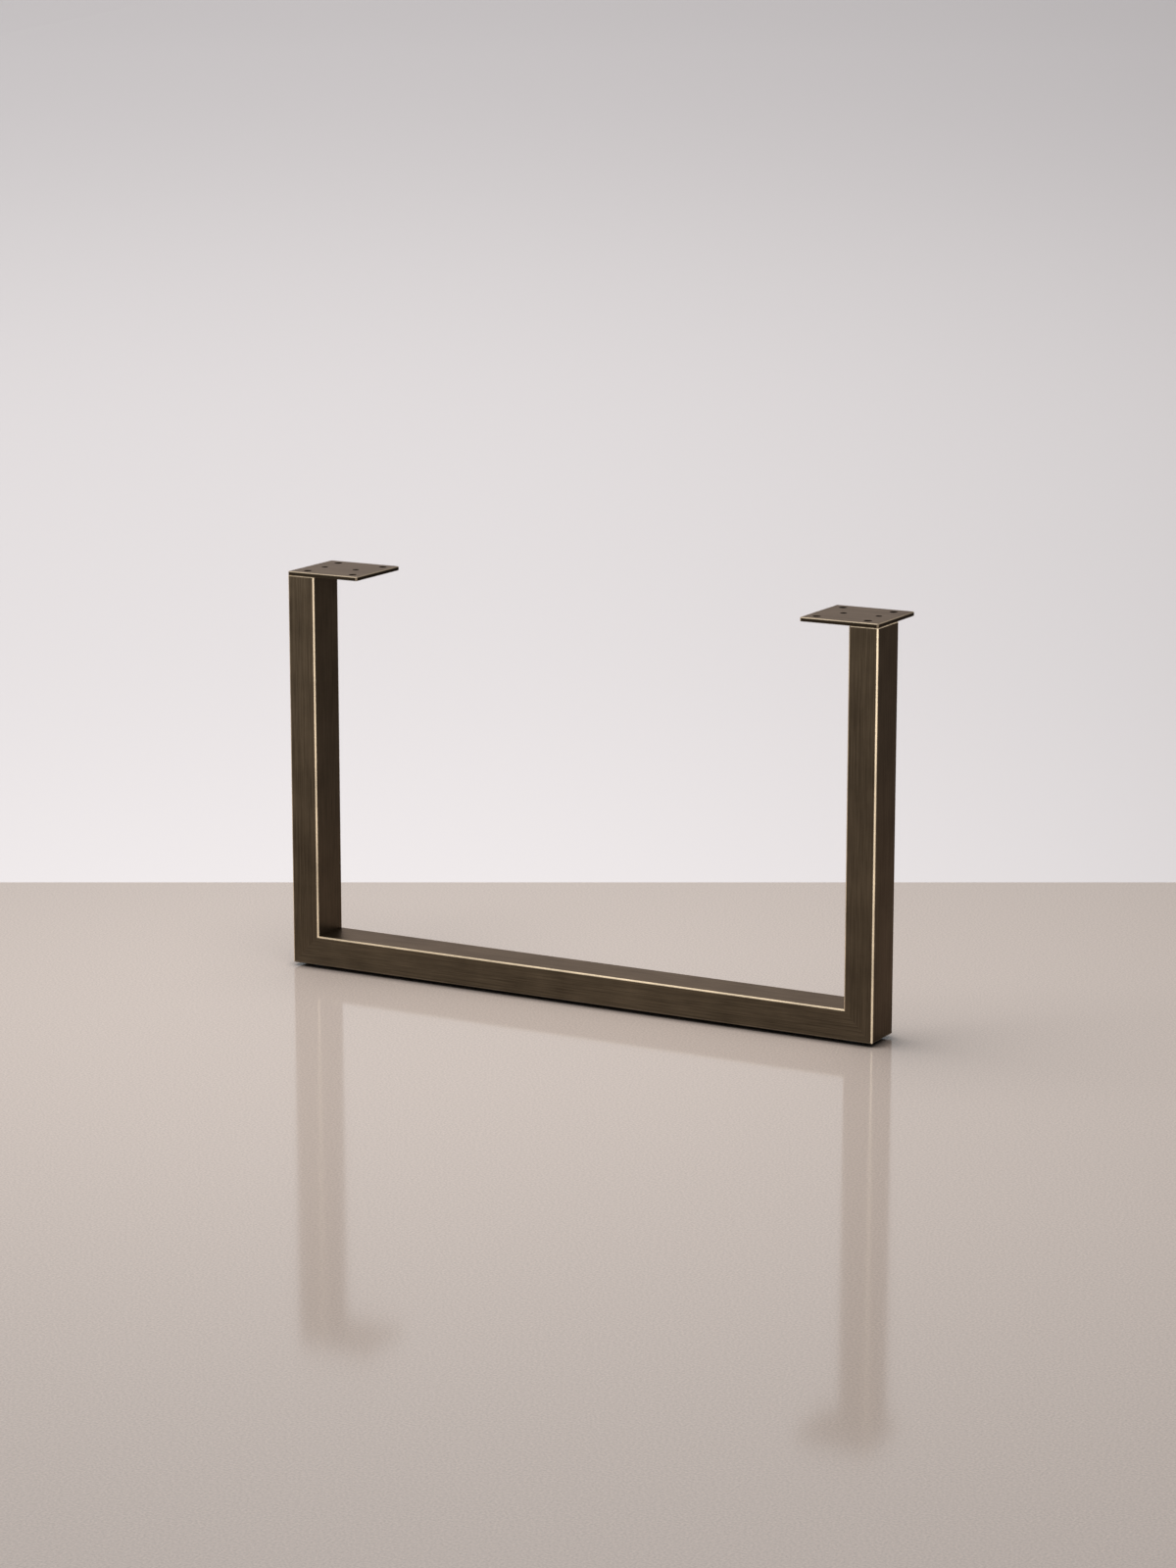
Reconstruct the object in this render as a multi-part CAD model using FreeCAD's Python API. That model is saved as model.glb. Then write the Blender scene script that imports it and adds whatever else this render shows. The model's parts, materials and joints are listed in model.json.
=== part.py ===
"""U-shaped table leg.

Two uprights and a foot rail of rectangular steel tube are mitred at the two lower corners and welded. A flat
drilled plate closes the top of each upright, flush with its front and outer faces, and reaches inwards and
backwards under the table top. Push-in glides hold the rail just clear of the floor.
Millimetres, +X along the rail, +Y to the back, +Z up. The origin lies on the floor, centred under the plates.
"""
import FreeCAD, Part
import os

# Overall sizes of the leg
overall_width = 640.0
overall_height = 400.0

# Rectangular tube: the face is what shows from the front, on the uprights and on the rail alike
tube_face = 30.0
tube_depth = 45.0
tube_wall = 1.5
tube_corner_radius = 2.0
tube_bore_corner_radius = 0.5
tube_top_edge_radius = 1.0
mitre_edge_radius = 2.0

# Mounting plate: the length runs inwards from the outer face, the depth backwards from the front face
plate_length = 80.0
plate_depth = 80.0
plate_thickness = 4.0
plate_corner_radius = 2.0
plate_top_edge_radius = 1.0
plate_bottom_edge_chamfer = 0.4

# Screw holes of a plate: four near the corners with a countersunk edge, and a plain pair on the centre line
screw_hole_diameter = 6.6
countersink_depth = 0.7
corner_hole_spacing_x = 52.0
corner_hole_spacing_y = 56.0
corner_hole_outer_inset = 16.0
middle_hole_spacing = 36.0
middle_hole_outer_inset = 18.0

# Push-in glide: a disc on the floor, with a stem that is pressed through the rail's lower wall
glide_height = 3.0
glide_diameter = 30.0
glide_edge_chamfer = 0.8
glide_end_inset = 25.0
glide_stem_diameter = 8.0
glide_stem_length = 7.0
stem_clearance = 0.1

# Places that follow from the sizes
half_width = overall_width / 2
front_y = -plate_depth / 2
tube_middle_y = front_y + tube_depth / 2
rail_bottom_z = glide_height
tube_top_z = overall_height - plate_thickness
tube_height = tube_top_z - rail_bottom_z
overcut = tube_face


def edges_along(solid, axis):
    """Straight edges of a solid that run along the given axis."""
    lines = [edge for edge in solid.Edges if isinstance(edge.Curve, Part.Line)]
    return [edge for edge in lines if abs(edge.tangentAt(edge.FirstParameter).dot(axis)) > 0.999]


def edges_at_height(solid, height):
    """Edges of a solid that lie in the level plane at the given height."""
    level = [edge for edge in solid.Edges if abs(edge.BoundBox.ZMax - height) < 1e-4]
    return [edge for edge in level if edge.BoundBox.ZLength < 1e-4]


def bar(low, size, axis, corner_radius):
    """Box with its four edges along the axis rounded."""
    block = Part.makeBox(size.x, size.y, size.z, low)
    return block.makeFillet(corner_radius, edges_along(block, axis))


def prism(outline, low_y, depth):
    """Straight prism along Y on an outline of (x, z) points."""
    points = [FreeCAD.Vector(x, low_y, z) for x, z in outline]
    face = Part.Face(Part.makePolygon(points + points[:1]))
    return face.extrude(FreeCAD.Vector(0, depth, 0))


def mitre_waste(keep_upright):
    """Everything on the far side of the left corner's 45 degree mitre plane, from the upright or from the rail."""
    outer = (-half_width - overcut, rail_bottom_z - overcut)
    reach = tube_face + 2 * overcut
    inner = (outer[0] + reach, outer[1] + reach)
    third = (inner[0], outer[1]) if keep_upright else (outer[0], inner[1])
    return prism([outer, inner, third], front_y - overcut, tube_depth + 2 * overcut)


def mitre_edge_waste():
    """Sharp tip outside the dressed radius that runs along the left corner's outer edge."""
    low = FreeCAD.Vector(-half_width, front_y - overcut, rail_bottom_z)
    depth = tube_depth + 2 * overcut
    tip = Part.makeBox(mitre_edge_radius, depth, mitre_edge_radius, low)
    centre = low + FreeCAD.Vector(mitre_edge_radius, 0, mitre_edge_radius)
    return tip.cut(Part.makeCylinder(mitre_edge_radius, depth, centre, FreeCAD.Vector(0, 1, 0)))


def mirrored(shape):
    """The same piece on the other end of the leg."""
    return shape.mirror(FreeCAD.Vector(0, 0, 0), FreeCAD.Vector(1, 0, 0))


def left_upright():
    """Tube with a square top end, dressed under the plate, and a mitred lower end."""
    axis = FreeCAD.Vector(0, 0, 1)
    low = FreeCAD.Vector(-half_width, front_y, rail_bottom_z)
    outside = bar(low, FreeCAD.Vector(tube_face, tube_depth, tube_height), axis, tube_corner_radius)
    outside = outside.makeFillet(tube_top_edge_radius, edges_at_height(outside, tube_top_z))
    bore_low = low + FreeCAD.Vector(tube_wall, tube_wall, -overcut)
    bore_size = FreeCAD.Vector(tube_face - 2 * tube_wall, tube_depth - 2 * tube_wall, tube_height + 2 * overcut)
    tube = outside.cut(bar(bore_low, bore_size, axis, tube_bore_corner_radius))
    return tube.cut(mitre_waste(keep_upright=True)).cut(mitre_edge_waste())


def glide_hole(x):
    """Drill through the rail's lower wall for a glide's stem."""
    base = FreeCAD.Vector(x, tube_middle_y, rail_bottom_z - tube_wall)
    return Part.makeCylinder(glide_stem_diameter / 2 + stem_clearance, 3 * tube_wall, base)


def foot_rail():
    """Tube mitred at both ends, with a hole for each glide in its lower wall."""
    axis = FreeCAD.Vector(1, 0, 0)
    low = FreeCAD.Vector(-half_width, front_y, rail_bottom_z)
    outside = bar(low, FreeCAD.Vector(overall_width, tube_depth, tube_face), axis, tube_corner_radius)
    bore_low = low + FreeCAD.Vector(-overcut, tube_wall, tube_wall)
    bore_size = FreeCAD.Vector(overall_width + 2 * overcut, tube_depth - 2 * tube_wall, tube_face - 2 * tube_wall)
    rail = outside.cut(bar(bore_low, bore_size, axis, tube_bore_corner_radius))
    for waste in (mitre_waste(keep_upright=False), mitre_edge_waste()):
        rail = rail.cut(waste).cut(mirrored(waste))
    for x in (glide_end_inset - half_width, half_width - glide_end_inset):
        rail = rail.cut(glide_hole(x))
    return rail


def screw_hole(x, y, countersunk):
    """Hole right through the plate, with a 90 degree countersunk upper edge where asked."""
    radius = screw_hole_diameter / 2
    hole = Part.makeCylinder(radius, plate_thickness, FreeCAD.Vector(x, y, tube_top_z))
    if not countersunk:
        return hole
    throat = FreeCAD.Vector(x, y, overall_height - countersink_depth)
    return hole.fuse(Part.makeCone(radius, radius + countersink_depth, countersink_depth, throat))


def left_mounting_plate():
    """Flat plate with rounded corners, broken edges and six screw holes."""
    low = FreeCAD.Vector(-half_width, front_y, tube_top_z)
    size = FreeCAD.Vector(plate_length, plate_depth, plate_thickness)
    plate = bar(low, size, FreeCAD.Vector(0, 0, 1), plate_corner_radius)
    plate = plate.makeFillet(plate_top_edge_radius, edges_at_height(plate, overall_height))
    plate = plate.makeChamfer(plate_bottom_edge_chamfer, edges_at_height(plate, tube_top_z))
    corner_x = corner_hole_outer_inset - half_width
    for x in (corner_x, corner_x + corner_hole_spacing_x):
        for y in (-corner_hole_spacing_y / 2, corner_hole_spacing_y / 2):
            plate = plate.cut(screw_hole(x, y, countersunk=True))
    middle_x = middle_hole_outer_inset - half_width
    for x in (middle_x, middle_x + middle_hole_spacing):
        plate = plate.cut(screw_hole(x, 0, countersunk=False))
    return plate


def left_glide():
    """Section of the disc and its stem, revolved about the glide's own upright axis."""
    disc = glide_diameter / 2
    stem = glide_stem_diameter / 2
    tip_z = glide_height + glide_stem_length
    outline = [
        (0, 0),
        (disc - glide_edge_chamfer, 0),
        (disc, glide_edge_chamfer),
        (disc, glide_height),
        (stem, glide_height),
        (stem, tip_z),
        (0, tip_z),
    ]
    points = [FreeCAD.Vector(x, 0, z) for x, z in outline]
    section = Part.Face(Part.makePolygon(points + points[:1]))
    turned = section.revolve(FreeCAD.Vector(0, 0, 0), FreeCAD.Vector(0, 0, 1), 360)
    return turned.translated(FreeCAD.Vector(glide_end_inset - half_width, tube_middle_y, 0))


def main():
    os.makedirs("parts", exist_ok=True)
    pieces = {"foot_rail": foot_rail()}
    for name, make in (("upright", left_upright), ("mounting_plate", left_mounting_plate), ("glide", left_glide)):
        pieces["left_" + name] = make()
        pieces["right_" + name] = mirrored(pieces["left_" + name])
    for name, shape in pieces.items():
        shape.exportStep("parts/" + name + ".step")


main()
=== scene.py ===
"""Looks of a U-shaped table leg: brushed antique bronze tubes and plates, moulded glides, a pale studio."""

from collections import namedtuple
import json
import math

import bpy
from mathutils import Euler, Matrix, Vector

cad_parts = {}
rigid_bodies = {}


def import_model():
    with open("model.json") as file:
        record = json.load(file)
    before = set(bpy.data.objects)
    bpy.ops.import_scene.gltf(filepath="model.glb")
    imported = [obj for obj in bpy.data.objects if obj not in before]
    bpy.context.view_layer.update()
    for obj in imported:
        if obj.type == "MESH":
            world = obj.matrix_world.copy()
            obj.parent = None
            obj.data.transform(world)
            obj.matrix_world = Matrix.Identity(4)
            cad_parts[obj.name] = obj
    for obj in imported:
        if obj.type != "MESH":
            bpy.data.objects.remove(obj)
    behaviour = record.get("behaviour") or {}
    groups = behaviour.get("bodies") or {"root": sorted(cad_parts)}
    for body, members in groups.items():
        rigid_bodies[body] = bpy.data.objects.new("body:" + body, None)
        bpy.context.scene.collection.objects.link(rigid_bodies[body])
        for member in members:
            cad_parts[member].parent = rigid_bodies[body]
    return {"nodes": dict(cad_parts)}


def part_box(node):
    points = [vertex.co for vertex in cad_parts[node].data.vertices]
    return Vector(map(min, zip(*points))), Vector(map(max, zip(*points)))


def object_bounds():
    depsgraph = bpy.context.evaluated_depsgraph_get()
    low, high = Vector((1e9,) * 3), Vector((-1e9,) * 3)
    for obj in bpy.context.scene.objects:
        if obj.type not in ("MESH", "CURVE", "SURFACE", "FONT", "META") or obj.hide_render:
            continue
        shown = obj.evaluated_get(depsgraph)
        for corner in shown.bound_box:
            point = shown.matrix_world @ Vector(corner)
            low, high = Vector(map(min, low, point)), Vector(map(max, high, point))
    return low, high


bl_info = {
    "name": "U-Shaped Table Leg",
    "version": (1, 0, 0),
    "blender": (4, 5, 0),
    "location": "View3D > Sidebar > Table Leg",
    "description": "Dresses a U-shaped table leg in brushed antique bronze and stands it in a pale studio",
    "category": "Object",
}

# A new file's own cube, lamp and camera are no part of the leg.
for leftover in list(bpy.data.objects):
    bpy.data.objects.remove(leftover)

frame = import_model()
CAD_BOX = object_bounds()
LEG_CENTRE = (CAD_BOX[0] + CAD_BOX[1]) / 2

MILLIMETRE = 0.001
X_AXIS = 0
Z_AXIS = 2
AXIS_LETTERS = "XYZ"

# The colour sockets of a Mix node share their names with its number sockets, so they go by their places.
MIX_A = 6
MIX_B = 7
MIX_RESULT = 2

# How much of the bronze's tone comes from the brush streaks and how much from the cloudy patches.
STREAK_SHARE = 0.65
CLOUD_SHARE = 0.35
# The tones at which most of the blackening is left and at which the brush has taken it down.
BLACKENED_TONE = 0.28
BRUSHED_TONE = 0.72
# The largest part of the surface's direction along a main axis, on a flat face and on a rounded edge.
FLAT_FACE = 0.99
ROUNDED_EDGE = 0.94
# How bare each kind of edge is, and the share of that which is left under a patch of thick blackening.
UPRIGHT_WEAR = 1.0
RAIL_WEAR = 0.95
PLATE_WEAR = 0.7
PATCHY_WEAR = 0.65
THICK_PATCH = 0.3
THIN_PATCH = 0.6
# The upward part of an edge's direction at which it keeps the least bare brass and at which it keeps all,
# and the share of wear left on the edges that face down, which paints shade on the underside.
UNDERSIDE_FACING = -0.5
SIDE_FACING = -0.05
WEAR_BELOW = 0.2
# On a plate: the depth of its worn outline, the upward part above which a face counts as level, and how
# dark the cut sides and the holes are drawn next to the dark patina; in the holes that is painted shade.
WORN_RIM = 4 * MILLIMETRE
LEVEL_FACE = 0.9
CUT_SHADE = 0.8
HOLE_SHADE = 0.15
# Generated coordinates run from 0 to 1 across a piece.
MIDDLE = 0.5

BLACKENED_ROUGHNESS = 0.48
BRUSHED_ROUGHNESS = 0.34
WORN_ROUGHNESS = 0.6
GROOVE_DEPTH = 0.05 * MILLIMETRE

PLASTIC_IOR = 1.51
PIT_DEPTH = 0.05 * MILLIMETRE
PIT_SHADE = 0.8
PEAK_SHADE = 1.25

FLOOR_GRIT = 2 * MILLIMETRE
GRIT_SHADE = 0.8
GRIT_LIGHT = 1.04
# The floor's colour is darkened within this distance of the leg, a painted contact shade.
CONTACT_SHADE = 12 * MILLIMETRE
SEALER_ROUGHNESS = 0.085
SEALER_SHARE = 0.16
VINYL_ROUGHNESS = 0.15
VINYL_SKIN_SHARE = 0.7

# Where the parts of the light tent start and end: the roof and the back's height by the upward part of a
# direction, and the front, the back's width and the opening by how far the direction points there.
FRONT_START = -0.6
FRONT_END = 0.0
ROOF_START = 0.25
ROOF_END = 0.8
BACK_FOOT = 0.0
BACK_TOP = 0.12
BACK_FOOT_SHARE = 0.35
BACK_SIDE = 0.2
BACK_MIDDLE = 0.7
OPENING_AZIMUTH = 115.0
OPENING_SIDE = -0.15
OPENING_MIDDLE = 0.6
OPENING_SHARE = 0.2

# The ground's corners are about one and a half reaches away, so this leaves room from any side.
CLIP_REACHES = 4

# Angles are in degrees to the right of the leg's front and above the floor, lengths in metres, and a
# brightness of 1 is white.
Softbox = namedtuple("Softbox", "name azimuth elevation distance width height brightness")
GROUND_SOFTBOXES = (
    Softbox("ground_softbox", -61.0, 78.0, distance=1.5, width=1.1, height=1.1, brightness=4.2),
)
LEG_SOFTBOXES = (
    Softbox("overhead_softbox", -61.0, 74.0, distance=1.7, width=1.4, height=1.4, brightness=2.5),
    Softbox("front_left_softbox", -35.0, 4.0, distance=2.2, width=1.4, height=0.7, brightness=1.3),
    Softbox("back_right_softbox", 120.0, 30.0, distance=2.2, width=1.4, height=1.0, brightness=1.5),
)
TUBE_SOFTBOXES = (
    Softbox("right_softbox", 52.0, 15.0, distance=2.2, width=1.2, height=1.4, brightness=7.5),
)


def linear(hex_colour):
    """Turns an sRGB hex colour such as #50463a into linear red, green and blue."""
    channels = [int(hex_colour[place:place + 2], 16) / 255 for place in (1, 3, 5)]
    return tuple(c / 12.92 if c <= 0.04045 else ((c + 0.055) / 1.055) ** 2.4 for c in channels)


def opaque(colour, shade=1.0):
    """Gives a colour, made darker or lighter, with the full alpha that a node's colour socket wants."""
    return (*(shade * c for c in colour), 1.0)


def add_node(tree, kind, settings=None, values=None, links=None):
    """Adds a node with its own settings, the values of its sockets and the links into them."""
    made = tree.nodes.new(kind)
    for name, value in (settings or {}).items():
        setattr(made, name, value)
    for socket, value in (values or {}).items():
        made.inputs[socket].default_value = value
    for socket, source in (links or {}).items():
        tree.links.new(source, made.inputs[socket])
    return made


def empty_material(name):
    """Makes a material whose node tree is still empty."""
    material = bpy.data.materials.new(name)
    material.use_nodes = True
    material.node_tree.nodes.clear()
    return material


def dress(node_name, material):
    """Gives a CAD node its finish."""
    node = frame["nodes"][node_name]
    node.data.materials.clear()
    node.data.materials.append(material)


def direction(azimuth, elevation=0.0):
    """Gives the direction from the leg at an angle to the right of its front and above the floor."""
    turn = math.radians(azimuth)
    rise = math.radians(elevation)
    return Vector((math.sin(turn) * math.cos(rise), -math.cos(turn) * math.cos(rise), math.sin(rise)))


class LegBronzeProperties(bpy.types.PropertyGroup):
    """Colours and grain of the antique bronze finish."""

    dark_patina: bpy.props.FloatVectorProperty(
        name="Dark Patina", description="Bronze where most of the blackening was left",
        subtype="COLOR", size=3, min=0, max=1, default=linear("#372f25"))
    light_patina: bpy.props.FloatVectorProperty(
        name="Light Patina", description="Bronze where the brush took the blackening down",
        subtype="COLOR", size=3, min=0, max=1, default=linear("#625646"))
    bare_brass: bpy.props.FloatVectorProperty(
        name="Bare Brass", description="Plating laid bare on the rounded edges",
        subtype="COLOR", size=3, min=0, max=1, default=linear("#e6d4b8"))
    edge_tint: bpy.props.FloatVectorProperty(
        name="Edge Tint", description="Tint of the bronze's sheen at a grazing angle",
        subtype="COLOR", size=3, min=0, max=1, default=linear("#e7dcd6"))
    streak_width: bpy.props.FloatProperty(
        name="Streak Width", description="Spacing of the brush streaks across the grain",
        unit="LENGTH", default=0.9 * MILLIMETRE, min=0.1 * MILLIMETRE)
    streak_length: bpy.props.FloatProperty(
        name="Streak Length", description="Length of a brush streak along the grain",
        unit="LENGTH", default=45 * MILLIMETRE, min=1 * MILLIMETRE)
    cloud_size: bpy.props.FloatProperty(
        name="Cloud Size", description="Size of the cloudy patches in the patina",
        unit="LENGTH", default=45 * MILLIMETRE, min=1 * MILLIMETRE)


class LegGlideProperties(bpy.types.PropertyGroup):
    """Colour and grain of the moulded glides."""

    plastic: bpy.props.FloatVectorProperty(
        name="Plastic", description="Black of the moulded polyethylene",
        subtype="COLOR", size=3, min=0, max=1, default=linear("#1b1b1d"))
    grain_size: bpy.props.FloatProperty(
        name="Mould Grain", description="Spacing of the mould's spark-eroded grain",
        unit="LENGTH", default=0.6 * MILLIMETRE, min=0.05 * MILLIMETRE)


class LegStageProperties(bpy.types.PropertyGroup):
    """Floor, light and camera of the studio."""

    floor_colour: bpy.props.FloatVectorProperty(
        name="Floor", description="Pale floor that the leg stands on",
        subtype="COLOR", size=3, min=0, max=1, default=linear("#dacbc1"))
    floor_sheen: bpy.props.FloatVectorProperty(
        name="Floor Sheen", description="Tint of the mirror image in the floor's sealer",
        subtype="COLOR", size=3, min=0, max=1, default=linear("#d7dde2"))
    backdrop_colour: bpy.props.FloatVectorProperty(
        name="Backdrop", description="Paler ground that starts behind the leg",
        subtype="COLOR", size=3, min=0, max=1, default=linear("#d5d0d0"))
    backdrop_sheen: bpy.props.FloatVectorProperty(
        name="Backdrop Sheen", description="Tint of the tent's image in the backdrop",
        subtype="COLOR", size=3, min=0, max=1, default=linear("#f6f4f7"))
    tent_colour: bpy.props.FloatVectorProperty(
        name="Light Tent", description="White cloth that lights the leg softly from all around",
        subtype="COLOR", size=3, min=0, max=1, default=linear("#fffcfa"))
    tent_at_horizon: bpy.props.FloatProperty(
        name="Tent at Horizon", description="Brightness of the tent's walls, where 1 is white",
        default=0.2, min=0)
    tent_back: bpy.props.FloatProperty(
        name="Tent Back", description="Brightness of the tent's wall behind the leg, where 1 is white",
        default=1.08, min=0)
    tent_front: bpy.props.FloatProperty(
        name="Tent Front", description="Brightness of the tent's wall behind the camera, where 1 is white",
        default=0.9, min=0)
    tent_overhead: bpy.props.FloatProperty(
        name="Tent Overhead", description="Brightness of the tent's roof, where 1 is white",
        default=0.55, min=0)
    floor_reach: bpy.props.FloatProperty(
        name="Floor Reach", description="Distance from the leg to the floor's edges",
        unit="LENGTH", default=80.0, min=1.0)
    backdrop_distance: bpy.props.FloatProperty(
        name="Backdrop Distance", description="Distance behind the leg at which the backdrop starts",
        unit="LENGTH", default=0.48, min=0.1)
    camera_location: bpy.props.FloatVectorProperty(
        name="Camera Location", description="Where the camera stands",
        subtype="TRANSLATION", unit="LENGTH", size=3, default=(1.87675, -3.40485, 1.03256))
    camera_turn: bpy.props.FloatProperty(
        name="Camera Turn", description="Angle that the camera is turned to the left of the leg's front",
        subtype="ANGLE", default=math.radians(28.918))
    camera_tilt: bpy.props.FloatProperty(
        name="Camera Tilt", description="Angle that the camera looks down",
        subtype="ANGLE", default=math.radians(11.931))
    camera_lens: bpy.props.FloatProperty(
        name="Lens", description="Focal length on a sensor 36 mm tall",
        subtype="DISTANCE_CAMERA", default=94.49)


def antique_bronze(name, grain_axis, finish, edge_wear, worn_rim=None):
    """Antique bronze on steel: plated, blackened, brushed back along the grain and lacquered satin."""
    # The eye gets a dark olive brown with fine pale streaks along the grain, cloudy patches where more of
    # the blackening was left, and bare pale brass on the rounded edges, where the brush cut through. On a
    # drilled plate, worn_rim is the share of its width that counts as its outline.
    material = empty_material(name)
    tree = material.node_tree
    place = add_node(tree, "ShaderNodeTexCoord")

    # Real brush lines are about 0.1 mm apart, too fine to show, so they are drawn nine times as coarse.
    across = 1 / finish.streak_width
    streak_scale = [across, across, across]
    streak_scale[grain_axis] = 1 / finish.streak_length
    streak_place = add_node(
        tree, "ShaderNodeVectorMath", {"operation": "MULTIPLY"}, {1: streak_scale},
        {0: place.outputs["Object"]})
    streaks = add_node(
        tree, "ShaderNodeTexNoise", None, {"Scale": 1.0, "Detail": 3.0, "Roughness": 0.6},
        {"Vector": streak_place.outputs["Vector"]})
    clouds = add_node(
        tree, "ShaderNodeTexNoise", None,
        {"Scale": 1 / finish.cloud_size, "Detail": 4.0, "Roughness": 0.55},
        {"Vector": place.outputs["Object"]})

    # Streaks and clouds together say how far the brush took the blackening down.
    streak_tone = add_node(
        tree, "ShaderNodeMath", {"operation": "MULTIPLY"}, {1: STREAK_SHARE},
        {0: streaks.outputs["Fac"]})
    tone = add_node(
        tree, "ShaderNodeMath", {"operation": "MULTIPLY_ADD"}, {1: CLOUD_SHARE},
        {0: clouds.outputs["Fac"], 2: streak_tone.outputs["Value"]})
    relief = add_node(
        tree, "ShaderNodeMapRange", None, {"From Min": BLACKENED_TONE, "From Max": BRUSHED_TONE},
        {"Value": tone.outputs["Value"]})
    patina = add_node(
        tree, "ShaderNodeMix", {"data_type": "RGBA"},
        {MIX_A: opaque(finish.dark_patina), MIX_B: opaque(finish.light_patina)},
        {0: relief.outputs["Result"]})

    # A rounded edge is where the surface faces none of the three main directions squarely.
    sides = add_node(
        tree, "ShaderNodeVectorMath", {"operation": "ABSOLUTE"}, None,
        {0: place.outputs["Normal"]})
    facing = add_node(tree, "ShaderNodeSeparateXYZ", None, None, {0: sides.outputs["Vector"]})
    flat_xy = add_node(
        tree, "ShaderNodeMath", {"operation": "MAXIMUM"}, None,
        {0: facing.outputs["X"], 1: facing.outputs["Y"]})
    flat = add_node(
        tree, "ShaderNodeMath", {"operation": "MAXIMUM"}, None,
        {0: flat_xy.outputs["Value"], 1: facing.outputs["Z"]})
    edge = add_node(
        tree, "ShaderNodeMapRange", {"interpolation_type": "SMOOTHSTEP"},
        {"From Min": FLAT_FACE, "From Max": ROUNDED_EDGE}, {"Value": flat.outputs["Value"]})

    # The brush cuts through unevenly, and the edges that face the floor are drawn with little bare brass:
    # a painted shade on the underside.
    wear_breaks = add_node(
        tree, "ShaderNodeMapRange", None,
        {"From Min": THICK_PATCH, "From Max": THIN_PATCH,
         "To Min": PATCHY_WEAR * edge_wear, "To Max": edge_wear},
        {"Value": clouds.outputs["Fac"]})
    upward = add_node(tree, "ShaderNodeSeparateXYZ", None, None, {0: place.outputs["Normal"]})
    underside_shade = add_node(
        tree, "ShaderNodeMapRange", {"interpolation_type": "SMOOTHSTEP"},
        {"From Min": UNDERSIDE_FACING, "From Max": SIDE_FACING, "To Min": WEAR_BELOW, "To Max": 1.0},
        {"Value": upward.outputs["Z"]})
    shaded_edge = add_node(
        tree, "ShaderNodeMath", {"operation": "MULTIPLY"}, None,
        {0: edge.outputs["Result"], 1: underside_shade.outputs["Result"]})
    wear = add_node(
        tree, "ShaderNodeMath", {"operation": "MULTIPLY"}, None,
        {0: shaded_edge.outputs["Value"], 1: wear_breaks.outputs["Result"]})
    if worn_rim is not None:
        # On a drilled plate the brush runs over the holes, so only the outline wears through.
        from_middle = add_node(
            tree, "ShaderNodeVectorMath", {"operation": "SUBTRACT"}, {1: (MIDDLE, MIDDLE, MIDDLE)},
            {0: place.outputs["Generated"]})
        outward = add_node(
            tree, "ShaderNodeVectorMath", {"operation": "ABSOLUTE"}, None,
            {0: from_middle.outputs["Vector"]})
        outward_sides = add_node(
            tree, "ShaderNodeSeparateXYZ", None, None, {0: outward.outputs["Vector"]})
        nearest_side = add_node(
            tree, "ShaderNodeMath", {"operation": "MAXIMUM"}, None,
            {0: outward_sides.outputs["X"], 1: outward_sides.outputs["Y"]})
        rim = add_node(
            tree, "ShaderNodeMath", {"operation": "GREATER_THAN"}, {1: MIDDLE - worn_rim},
            {0: nearest_side.outputs["Value"]})
        wear = add_node(
            tree, "ShaderNodeMath", {"operation": "MULTIPLY"}, None,
            {0: wear.outputs["Value"], 1: rim.outputs["Value"]})
        # The brush misses the cut edges and the walls of the holes, so more of their blackening is left.
        # The cut edges are drawn a little darker still, and the holes nearly black: painted shade in them.
        cut = add_node(
            tree, "ShaderNodeMath", {"operation": "LESS_THAN"}, {1: LEVEL_FACE},
            {0: facing.outputs["Z"]})
        cut_darkening_and_hole_shade = add_node(
            tree, "ShaderNodeMix", {"data_type": "RGBA"},
            {MIX_A: opaque(finish.dark_patina, HOLE_SHADE), MIX_B: opaque(finish.dark_patina, CUT_SHADE)},
            {0: rim.outputs["Value"]})
        patina = add_node(
            tree, "ShaderNodeMix", {"data_type": "RGBA"}, None,
            {
                0: cut.outputs["Value"],
                MIX_A: patina.outputs[MIX_RESULT],
                MIX_B: cut_darkening_and_hole_shade.outputs[MIX_RESULT],
            })
    colour = add_node(
        tree, "ShaderNodeMix", {"data_type": "RGBA"}, {MIX_B: opaque(finish.bare_brass)},
        {0: wear.outputs["Value"], MIX_A: patina.outputs[MIX_RESULT]})

    # Brushed-back streaks are a little smoother than the blackened ground, and worn edges are scuffed.
    streak_roughness = add_node(
        tree, "ShaderNodeMapRange", None, {"To Min": BLACKENED_ROUGHNESS, "To Max": BRUSHED_ROUGHNESS},
        {"Value": streaks.outputs["Fac"]})
    roughness = add_node(
        tree, "ShaderNodeMapRange", None, {"To Max": WORN_ROUGHNESS},
        {"Value": wear.outputs["Value"], "To Min": streak_roughness.outputs["Result"]})
    grooves = add_node(
        tree, "ShaderNodeBump", None, {"Strength": 0.2, "Distance": GROOVE_DEPTH},
        {"Height": streaks.outputs["Fac"]})
    tangent = add_node(
        tree, "ShaderNodeTangent", {"direction_type": "RADIAL", "axis": AXIS_LETTERS[grain_axis]})
    shader = add_node(
        tree, "ShaderNodeBsdfPrincipled", None,
        {"Metallic": 1.0, "Anisotropic": 0.3, "Specular Tint": opaque(finish.edge_tint)},
        {
            "Base Color": colour.outputs[MIX_RESULT],
            "Roughness": roughness.outputs["Result"],
            "Normal": grooves.outputs["Normal"],
            "Tangent": tangent.outputs["Tangent"],
        })
    add_node(tree, "ShaderNodeOutputMaterial", None, None, {"Surface": shader.outputs["BSDF"]})
    return material


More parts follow.
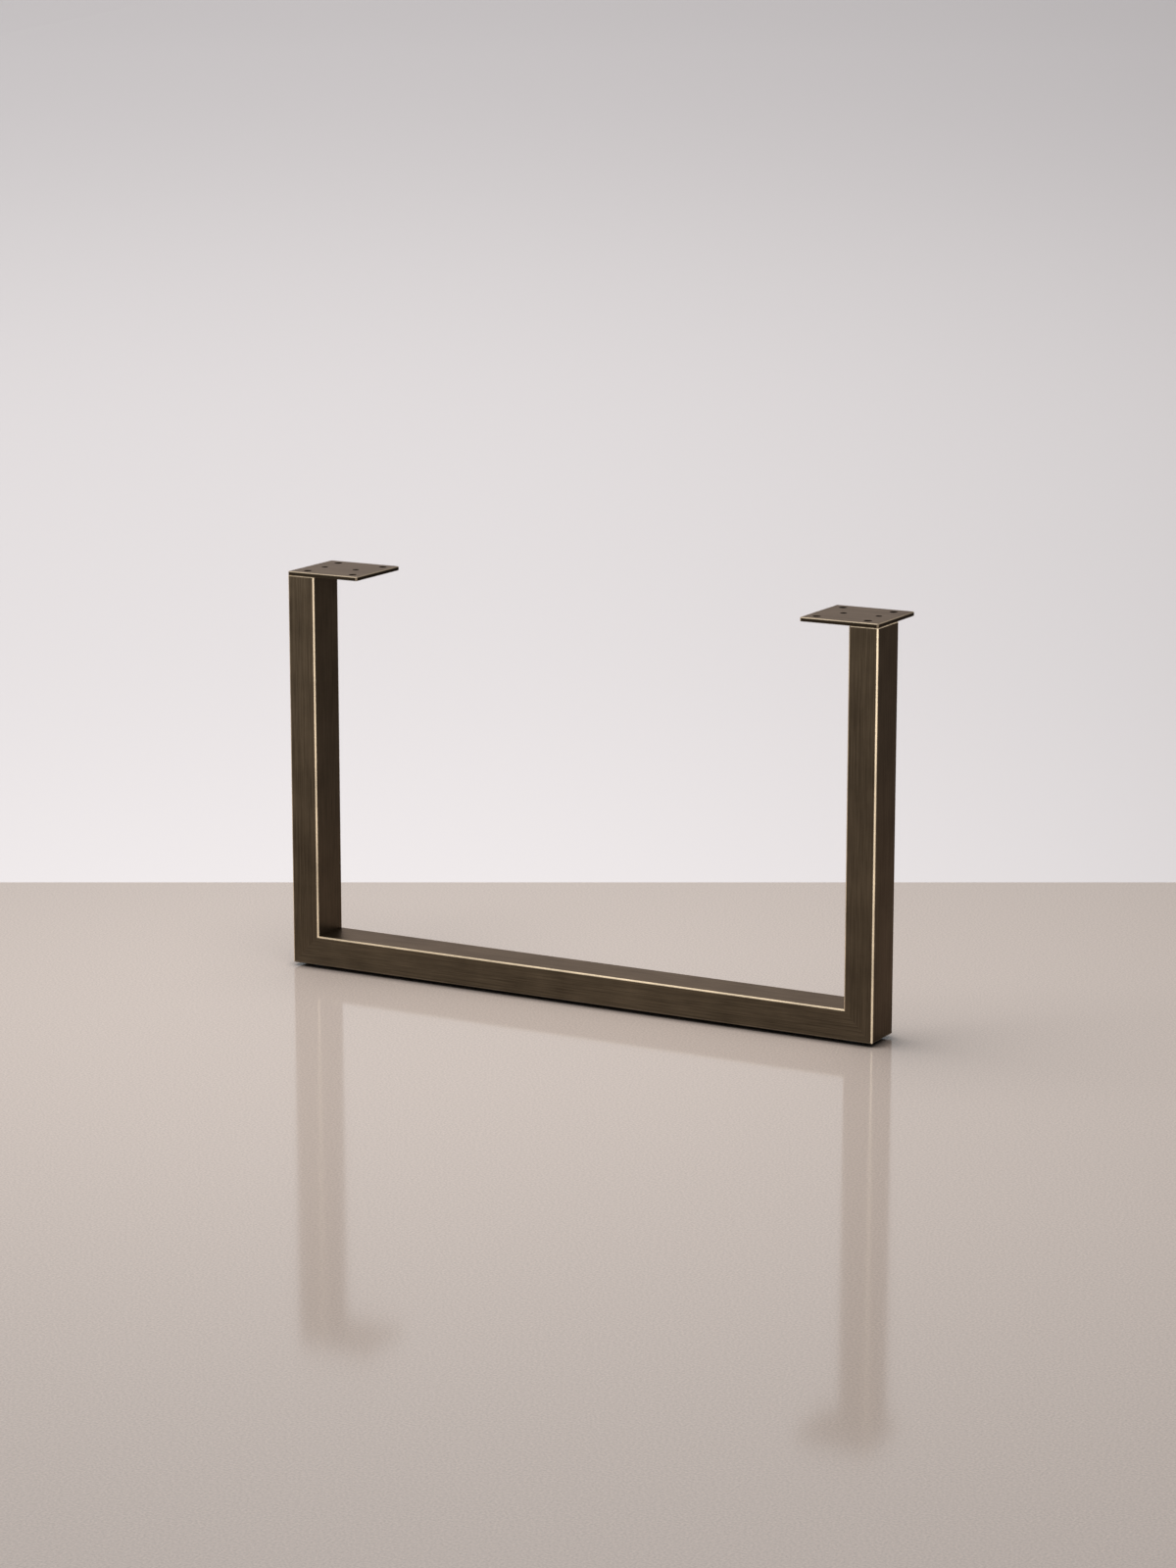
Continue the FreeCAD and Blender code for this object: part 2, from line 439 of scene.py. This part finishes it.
def moulded_polyethylene(name, glide):
    """Black polyethylene, injection moulded in a spark-eroded mould."""
    # The eye gets a soft black with a dull sheen and a fine even grain. A real mould's grain is about
    # 0.1 mm, too fine to show, so it is drawn six times as coarse.
    material = empty_material(name)
    tree = material.node_tree
    place = add_node(tree, "ShaderNodeTexCoord")
    grain = add_node(
        tree, "ShaderNodeTexNoise", None, {"Scale": 1 / glide.grain_size, "Detail": 2.0},
        {"Vector": place.outputs["Object"]})
    shade = add_node(
        tree, "ShaderNodeMix", {"data_type": "RGBA"},
        {MIX_A: opaque(glide.plastic, PIT_SHADE), MIX_B: opaque(glide.plastic, PEAK_SHADE)},
        {0: grain.outputs["Fac"]})
    roughness = add_node(
        tree, "ShaderNodeMapRange", None, {"To Min": 0.45, "To Max": 0.62},
        {"Value": grain.outputs["Fac"]})
    pits = add_node(
        tree, "ShaderNodeBump", None, {"Strength": 0.3, "Distance": PIT_DEPTH},
        {"Height": grain.outputs["Fac"]})
    shader = add_node(
        tree, "ShaderNodeBsdfPrincipled", None, {"IOR": PLASTIC_IOR},
        {
            "Base Color": shade.outputs[MIX_RESULT],
            "Roughness": roughness.outputs["Result"],
            "Normal": pits.outputs["Normal"],
        })
    add_node(tree, "ShaderNodeOutputMaterial", None, None, {"Surface": shader.outputs["BSDF"]})
    return material


def away_from_camera(stage):
    """Gives the level direction that the camera looks in."""
    return Vector((-math.sin(stage.camera_turn), math.cos(stage.camera_turn), 0.0))


def sealed_floor(name, stage):
    """Pale mineral floor, ground smooth and sealed satin."""
    # The eye gets a warm pale ground with fine speckles of grit and a soft mirror image of the leg.
    material = empty_material(name)
    tree = material.node_tree
    place = add_node(tree, "ShaderNodeTexCoord")
    speckles = add_node(
        tree, "ShaderNodeTexNoise", None, {"Scale": 1 / FLOOR_GRIT, "Detail": 1.0},
        {"Vector": place.outputs["Object"]})
    grit = add_node(
        tree, "ShaderNodeMapRange", None, {"From Min": 0.25, "From Max": 0.75},
        {"Value": speckles.outputs["Fac"]})
    ground = add_node(
        tree, "ShaderNodeMix", {"data_type": "RGBA"},
        {MIX_A: opaque(stage.floor_colour, GRIT_SHADE), MIX_B: opaque(stage.floor_colour, GRIT_LIGHT)},
        {0: grit.outputs["Result"]})
    # Light from all around leaves the slit below the rail too pale, so a painted shade darkens the
    # floor's colour right against the leg.
    painted_contact_shade = add_node(
        tree, "ShaderNodeAmbientOcclusion", {"samples": 8}, {"Distance": CONTACT_SHADE},
        {"Color": ground.outputs[MIX_RESULT]})
    body = add_node(
        tree, "ShaderNodeBsdfDiffuse", None, None, {"Color": painted_contact_shade.outputs["Color"]})
    sealer = add_node(
        tree, "ShaderNodeBsdfGlossy", None,
        {"Color": opaque(stage.floor_sheen), "Roughness": SEALER_ROUGHNESS})
    shader = add_node(
        tree, "ShaderNodeMixShader", None, {0: SEALER_SHARE},
        {1: body.outputs["BSDF"], 2: sealer.outputs["BSDF"]})
    add_node(tree, "ShaderNodeOutputMaterial", None, None, {"Surface": shader.outputs["Shader"]})
    return material


def satin_vinyl(name, stage):
    """White background vinyl, calendered satin and rolled out behind the floor."""
    # The eye gets an even pale ground that mirrors the back of the tent, less bright into the distance.
    material = empty_material(name)
    tree = material.node_tree
    body = add_node(tree, "ShaderNodeBsdfDiffuse", None, {"Color": opaque(stage.backdrop_colour)})
    skin = add_node(
        tree, "ShaderNodeBsdfGlossy", None,
        {"Color": opaque(stage.backdrop_sheen), "Roughness": VINYL_ROUGHNESS})
    shader = add_node(
        tree, "ShaderNodeMixShader", None, {0: VINYL_SKIN_SHARE},
        {1: body.outputs["BSDF"], 2: skin.outputs["BSDF"]})
    add_node(tree, "ShaderNodeOutputMaterial", None, None, {"Surface": shader.outputs["Shader"]})
    return material


class LEG_OT_finish_tubes(bpy.types.Operator):
    """Finishes the two uprights and the foot rail in bronze brushed along each tube"""

    bl_idname = "leg.finish_tubes"
    bl_label = "Finish Tubes"

    def execute(self, context):
        finish = context.scene.leg_bronze
        upright_bronze = antique_bronze("antique_bronze_brushed_upward", Z_AXIS, finish, UPRIGHT_WEAR)
        rail_bronze = antique_bronze("antique_bronze_brushed_along_rail", X_AXIS, finish, RAIL_WEAR)
        dress("left_upright", upright_bronze)
        dress("right_upright", upright_bronze)
        dress("foot_rail", rail_bronze)
        return {"FINISHED"}


class LEG_OT_finish_plates(bpy.types.Operator):
    """Finishes the two mounting plates in bronze brushed along their length"""

    bl_idname = "leg.finish_plates"
    bl_label = "Finish Mounting Plates"

    def execute(self, context):
        low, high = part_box("left_mounting_plate")
        worn_rim = WORN_RIM / (high.x - low.x)
        bronze = antique_bronze(
            "antique_bronze_brushed_plate", X_AXIS, context.scene.leg_bronze, PLATE_WEAR, worn_rim)
        dress("left_mounting_plate", bronze)
        dress("right_mounting_plate", bronze)
        return {"FINISHED"}


class LEG_OT_finish_glides(bpy.types.Operator):
    """Finishes the two floor glides in black moulded plastic"""

    bl_idname = "leg.finish_glides"
    bl_label = "Finish Glides"

    def execute(self, context):
        plastic = moulded_polyethylene("polyethylene_moulded_black", context.scene.leg_glide)
        dress("left_glide", plastic)
        dress("right_glide", plastic)
        return {"FINISHED"}


class LEG_OT_build_stage(bpy.types.Operator):
    """Lays the floor, hangs the lights and sets up the camera"""

    bl_idname = "leg.build_stage"
    bl_label = "Build Stage"

    def execute(self, context):
        stage = context.scene.leg_stage
        grounds = self.lay_grounds(context, stage)
        self.light_world(context, stage)
        self.hang_lamps(context, grounds)
        self.place_camera(context, stage)
        context.scene.view_settings.view_transform = "Standard"
        return {"FINISHED"}

    def lay_grounds(self, context, stage):
        """Lays the floor up to a line behind the leg and the backdrop beyond it."""
        away = away_from_camera(stage)
        along = Vector((away.y, -away.x, 0.0)) * stage.floor_reach
        strips = (
            ("floor", -stage.floor_reach, stage.backdrop_distance,
             sealed_floor("mineral_floor_sealed_satin", stage)),
            ("backdrop", stage.backdrop_distance, stage.floor_reach,
             satin_vinyl("vinyl_calendered_satin", stage)),
        )
        grounds = []
        for name, near, far, material in strips:
            corners = [near * away - along, near * away + along, far * away + along, far * away - along]
            mesh = bpy.data.meshes.new(name)
            mesh.from_pydata(corners, [], [range(len(corners))])
            mesh.materials.append(material)
            ground = bpy.data.objects.new(name, mesh)
            context.collection.objects.link(ground)
            grounds.append(ground)
        return grounds

    def light_world(self, context, stage):
        """Surrounds the leg with a light tent, bright at the front and back and open at the back right."""
        world = bpy.data.worlds.new("light_tent")
        world.use_nodes = True
        tree = world.node_tree
        tree.nodes.clear()
        sight = add_node(tree, "ShaderNodeTexCoord")
        height = add_node(tree, "ShaderNodeSeparateXYZ", None, None, {0: sight.outputs["Generated"]})
        towards_back = add_node(
            tree, "ShaderNodeVectorMath", {"operation": "DOT_PRODUCT"}, {1: away_from_camera(stage)},
            {0: sight.outputs["Generated"]})
        walls = add_node(
            tree, "ShaderNodeMapRange", {"interpolation_type": "SMOOTHSTEP"},
            {"From Min": FRONT_START, "From Max": FRONT_END,
             "To Min": stage.tent_front, "To Max": stage.tent_at_horizon},
            {"Value": towards_back.outputs["Value"]})
        roof = add_node(
            tree, "ShaderNodeMapRange", {"interpolation_type": "SMOOTHSTEP"},
            {"From Min": ROOF_START, "From Max": ROOF_END, "To Max": stage.tent_overhead},
            {"Value": height.outputs["Z"], "To Min": walls.outputs["Result"]})
        back_height = add_node(
            tree, "ShaderNodeMapRange", {"interpolation_type": "SMOOTHSTEP"},
            {"From Min": BACK_FOOT, "From Max": BACK_TOP,
             "To Min": BACK_FOOT_SHARE * stage.tent_back, "To Max": stage.tent_back},
            {"Value": height.outputs["Z"]})
        back_width = add_node(
            tree, "ShaderNodeMapRange", {"interpolation_type": "SMOOTHSTEP"},
            {"From Min": BACK_SIDE, "From Max": BACK_MIDDLE}, {"Value": towards_back.outputs["Value"]})
        back = add_node(
            tree, "ShaderNodeMath", {"operation": "MULTIPLY"}, None,
            {0: back_height.outputs["Result"], 1: back_width.outputs["Result"]})
        cloth = add_node(
            tree, "ShaderNodeMath", {"operation": "MAXIMUM"}, None,
            {0: roof.outputs["Result"], 1: back.outputs["Value"]})
        towards_opening = add_node(
            tree, "ShaderNodeVectorMath", {"operation": "DOT_PRODUCT"}, {1: direction(OPENING_AZIMUTH)},
            {0: sight.outputs["Generated"]})
        opening = add_node(
            tree, "ShaderNodeMapRange", {"interpolation_type": "SMOOTHSTEP"},
            {"From Min": OPENING_SIDE, "From Max": OPENING_MIDDLE, "To Min": 1.0, "To Max": OPENING_SHARE},
            {"Value": towards_opening.outputs["Value"]})
        brightness = add_node(
            tree, "ShaderNodeMath", {"operation": "MULTIPLY"}, None,
            {0: cloth.outputs["Value"], 1: opening.outputs["Result"]})
        tent = add_node(
            tree, "ShaderNodeBackground", None, {"Color": opaque(stage.tent_colour)},
            {"Strength": brightness.outputs["Value"]})
        add_node(tree, "ShaderNodeOutputWorld", None, None, {"Surface": tent.outputs["Background"]})
        context.scene.world = world

    def hang_lamps(self, context, grounds):
        """Hangs the softboxes around the leg."""
        # Flags keep the leg's softboxes off the ground, so the slit below the rail stays dark, and the
        # right one off the plates too, whose flat tops would mirror it white. The ground's own softbox
        # lights only the ground, and is left out of mirror images so that the floor doesn't show it.
        plates = [frame["nodes"][name] for name in ("left_mounting_plate", "right_mounting_plate")]
        lit_grounds = self.link_receivers("lit_grounds", grounds, "INCLUDE")
        flagged_grounds = self.link_receivers("flagged_grounds", grounds, "EXCLUDE")
        flagged_plates = self.link_receivers("flagged_plates", grounds + plates, "EXCLUDE")
        for softbox in GROUND_SOFTBOXES:
            lamp = self.hang_softbox(context, softbox, lit_grounds)
            lamp.visible_glossy = False
        for softbox in LEG_SOFTBOXES:
            self.hang_softbox(context, softbox, flagged_grounds)
        for softbox in TUBE_SOFTBOXES:
            self.hang_softbox(context, softbox, flagged_plates)

    def link_receivers(self, name, receivers, link_state):
        """Makes the collection that keeps a lamp to some objects or away from them."""
        linked = bpy.data.collections.new(name)
        for receiver in receivers:
            linked.objects.link(receiver)
        for member in linked.collection_objects:
            member.light_linking.link_state = link_state
        return linked

    def hang_softbox(self, context, softbox, receivers):
        """Hangs one softbox that faces the middle of the leg and lights what its collection allows."""
        light = bpy.data.lights.new(softbox.name, "AREA")
        light.shape = "RECTANGLE"
        light.size = softbox.width
        light.size_y = softbox.height
        light.energy = softbox.brightness * math.pi * softbox.width * softbox.height
        outward = direction(softbox.azimuth, softbox.elevation)
        lamp = bpy.data.objects.new(softbox.name, light)
        lamp.location = LEG_CENTRE + softbox.distance * outward
        lamp.rotation_euler = (-outward).to_track_quat("-Z", "Y").to_euler()
        lamp.visible_camera = False
        lamp.light_linking.receiver_collection = receivers
        context.collection.objects.link(lamp)
        return lamp

    def place_camera(self, context, stage):
        """Stands the camera where the photograph was taken from."""
        data = bpy.data.cameras.new("camera")
        data.lens = stage.camera_lens
        data.clip_end = CLIP_REACHES * stage.floor_reach
        camera = bpy.data.objects.new("camera", data)
        camera.location = stage.camera_location
        camera.rotation_euler = Euler((math.pi / 2 - stage.camera_tilt, 0.0, stage.camera_turn))
        context.collection.objects.link(camera)
        context.scene.camera = camera


class LEG_PT_panel(bpy.types.Panel):
    """Lists the steps that dress the leg and the settings that they use"""

    bl_idname = "LEG_PT_panel"
    bl_label = "Table Leg"
    bl_space_type = "VIEW_3D"
    bl_region_type = "UI"
    bl_category = "Table Leg"

    def draw(self, context):
        for operator in OPERATORS:
            self.layout.operator(operator.bl_idname)
        for name, group in GROUPS.items():
            column = self.layout.column()
            for setting in group.__annotations__:
                column.prop(getattr(context.scene, name), setting)


GROUPS = {
    "leg_bronze": LegBronzeProperties,
    "leg_glide": LegGlideProperties,
    "leg_stage": LegStageProperties,
}
OPERATORS = (LEG_OT_finish_tubes, LEG_OT_finish_plates, LEG_OT_finish_glides, LEG_OT_build_stage)
CLASSES = (*GROUPS.values(), *OPERATORS, LEG_PT_panel)


def register():
    for item in CLASSES:
        bpy.utils.register_class(item)
    for name, group in GROUPS.items():
        setattr(bpy.types.Scene, name, bpy.props.PointerProperty(type=group))


def unregister():
    for name in GROUPS:
        delattr(bpy.types.Scene, name)
    for item in reversed(CLASSES):
        bpy.utils.unregister_class(item)


def main():
    register()
    bpy.ops.leg.finish_tubes()
    bpy.ops.leg.finish_plates()
    bpy.ops.leg.finish_glides()
    bpy.ops.leg.build_stage()


if __name__ == "__main__":
    main()
